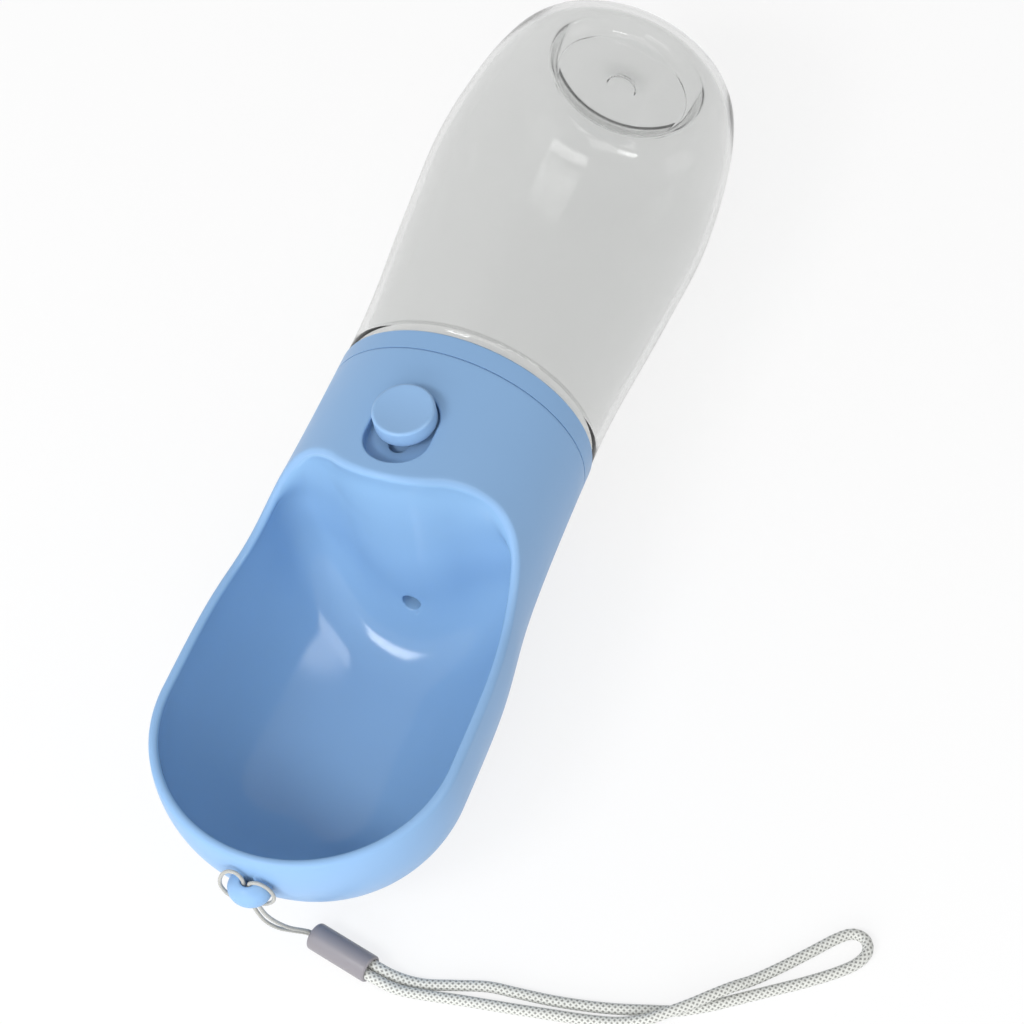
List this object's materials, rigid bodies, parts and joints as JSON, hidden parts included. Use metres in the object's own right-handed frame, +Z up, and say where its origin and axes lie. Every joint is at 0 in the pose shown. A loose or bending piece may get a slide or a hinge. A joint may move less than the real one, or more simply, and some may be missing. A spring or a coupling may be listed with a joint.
{
  "type": "dog travel water bottle",
  "caption": "Travel water bottle for dogs: clear bottle screwed into a moulded drinking bowl with a press-button valve, a slide lock and a braided wrist strap.",
  "frame": {"origin": "on the surface that the bottle lies on, under the middle of the part's box without the strap", "axes": "+Y along the bottle's axis, from the bowl's end to the bottle's base; +Z up, out through the button and the open side of the bowl; +X across"},
  "size_m": [0.1612, 0.246, 0.0722],
  "materials": {
    "shell_blue": "smooth, glossy inside the bowl and satin outside",
    "band_blue": "satin",
    "clear_plastic": "clear and glossy",
    "valve_white": "as moulded",
    "silicone": "matt",
    "ring_rubber": "matt",
    "spring_steel": "bright",
    "sleeve_grey": "satin",
    "cord_silver": "braided"
  },
  "bodies": {
    "housing": {"bowl_housing": "shell_blue", "thread_collar": "band_blue", "carriage_retainer": "valve_white", "valve_block": "valve_white", "valve_spring": "spring_steel", "valve_end_plug": "valve_white", "inlet_seal": "silicone", "outlet_tube": "valve_white", "outlet_seal": "silicone", "valve_screw_1": "spring_steel", "valve_screw_2": "spring_steel", "valve_screw_3": "spring_steel", "valve_screw_4": "spring_steel", "strap_sleeve": "sleeve_grey", "strap_string": "cord_silver", "strap_loop": "cord_silver"},
    "lock": {"lock_carriage": "valve_white", "button_spring": "spring_steel"},
    "button": {"button_cap": "shell_blue", "push_rod": "valve_white"},
    "valve": {"valve_spool": "valve_white", "spool_ring_upper": "ring_rubber", "spool_ring_lower": "ring_rubber"},
    "seal": {"neck_seal": "silicone"},
    "bottle": {"bottle": "clear_plastic"}
  },
  "joints": [
    {"name": "lock_slide", "type": "slide", "parent": "housing", "child": "lock", "axis": [0, -1, 0], "range_m": [0, 0.005]},
    {"name": "button_press", "type": "slide", "parent": "lock", "child": "button", "axis": [0, 0, -1], "range_m": [0, 0.002], "stiffness_N_per_m": 500, "springref_m": -0.002, "deforming": ["button_spring"]},
    {"name": "valve_travel", "type": "slide", "parent": "housing", "child": "valve", "axis": [0, 0, -1], "range_m": [0, 0.002], "stiffness_N_per_m": 300, "springref_m": -0.002, "deforming": ["valve_spring"]},
    {"name": "bottle_draw", "type": "slide", "parent": "housing", "child": "seal", "axis": [0, 1, 0], "range_m": [0, 0.0106]},
    {"name": "bottle_unscrew", "type": "hinge", "parent": "seal", "child": "bottle", "pos_m": [0, 0, 0.0361], "axis": [0, 1, 0], "range_deg": [0, 760]}
  ],
  "couplings": [
    {"joint": "valve_travel", "follows": "button_press", "ratio": 1},
    {"joint": "bottle_draw", "follows": "bottle_unscrew", "m_per_rad": 0.000796}
  ]
}
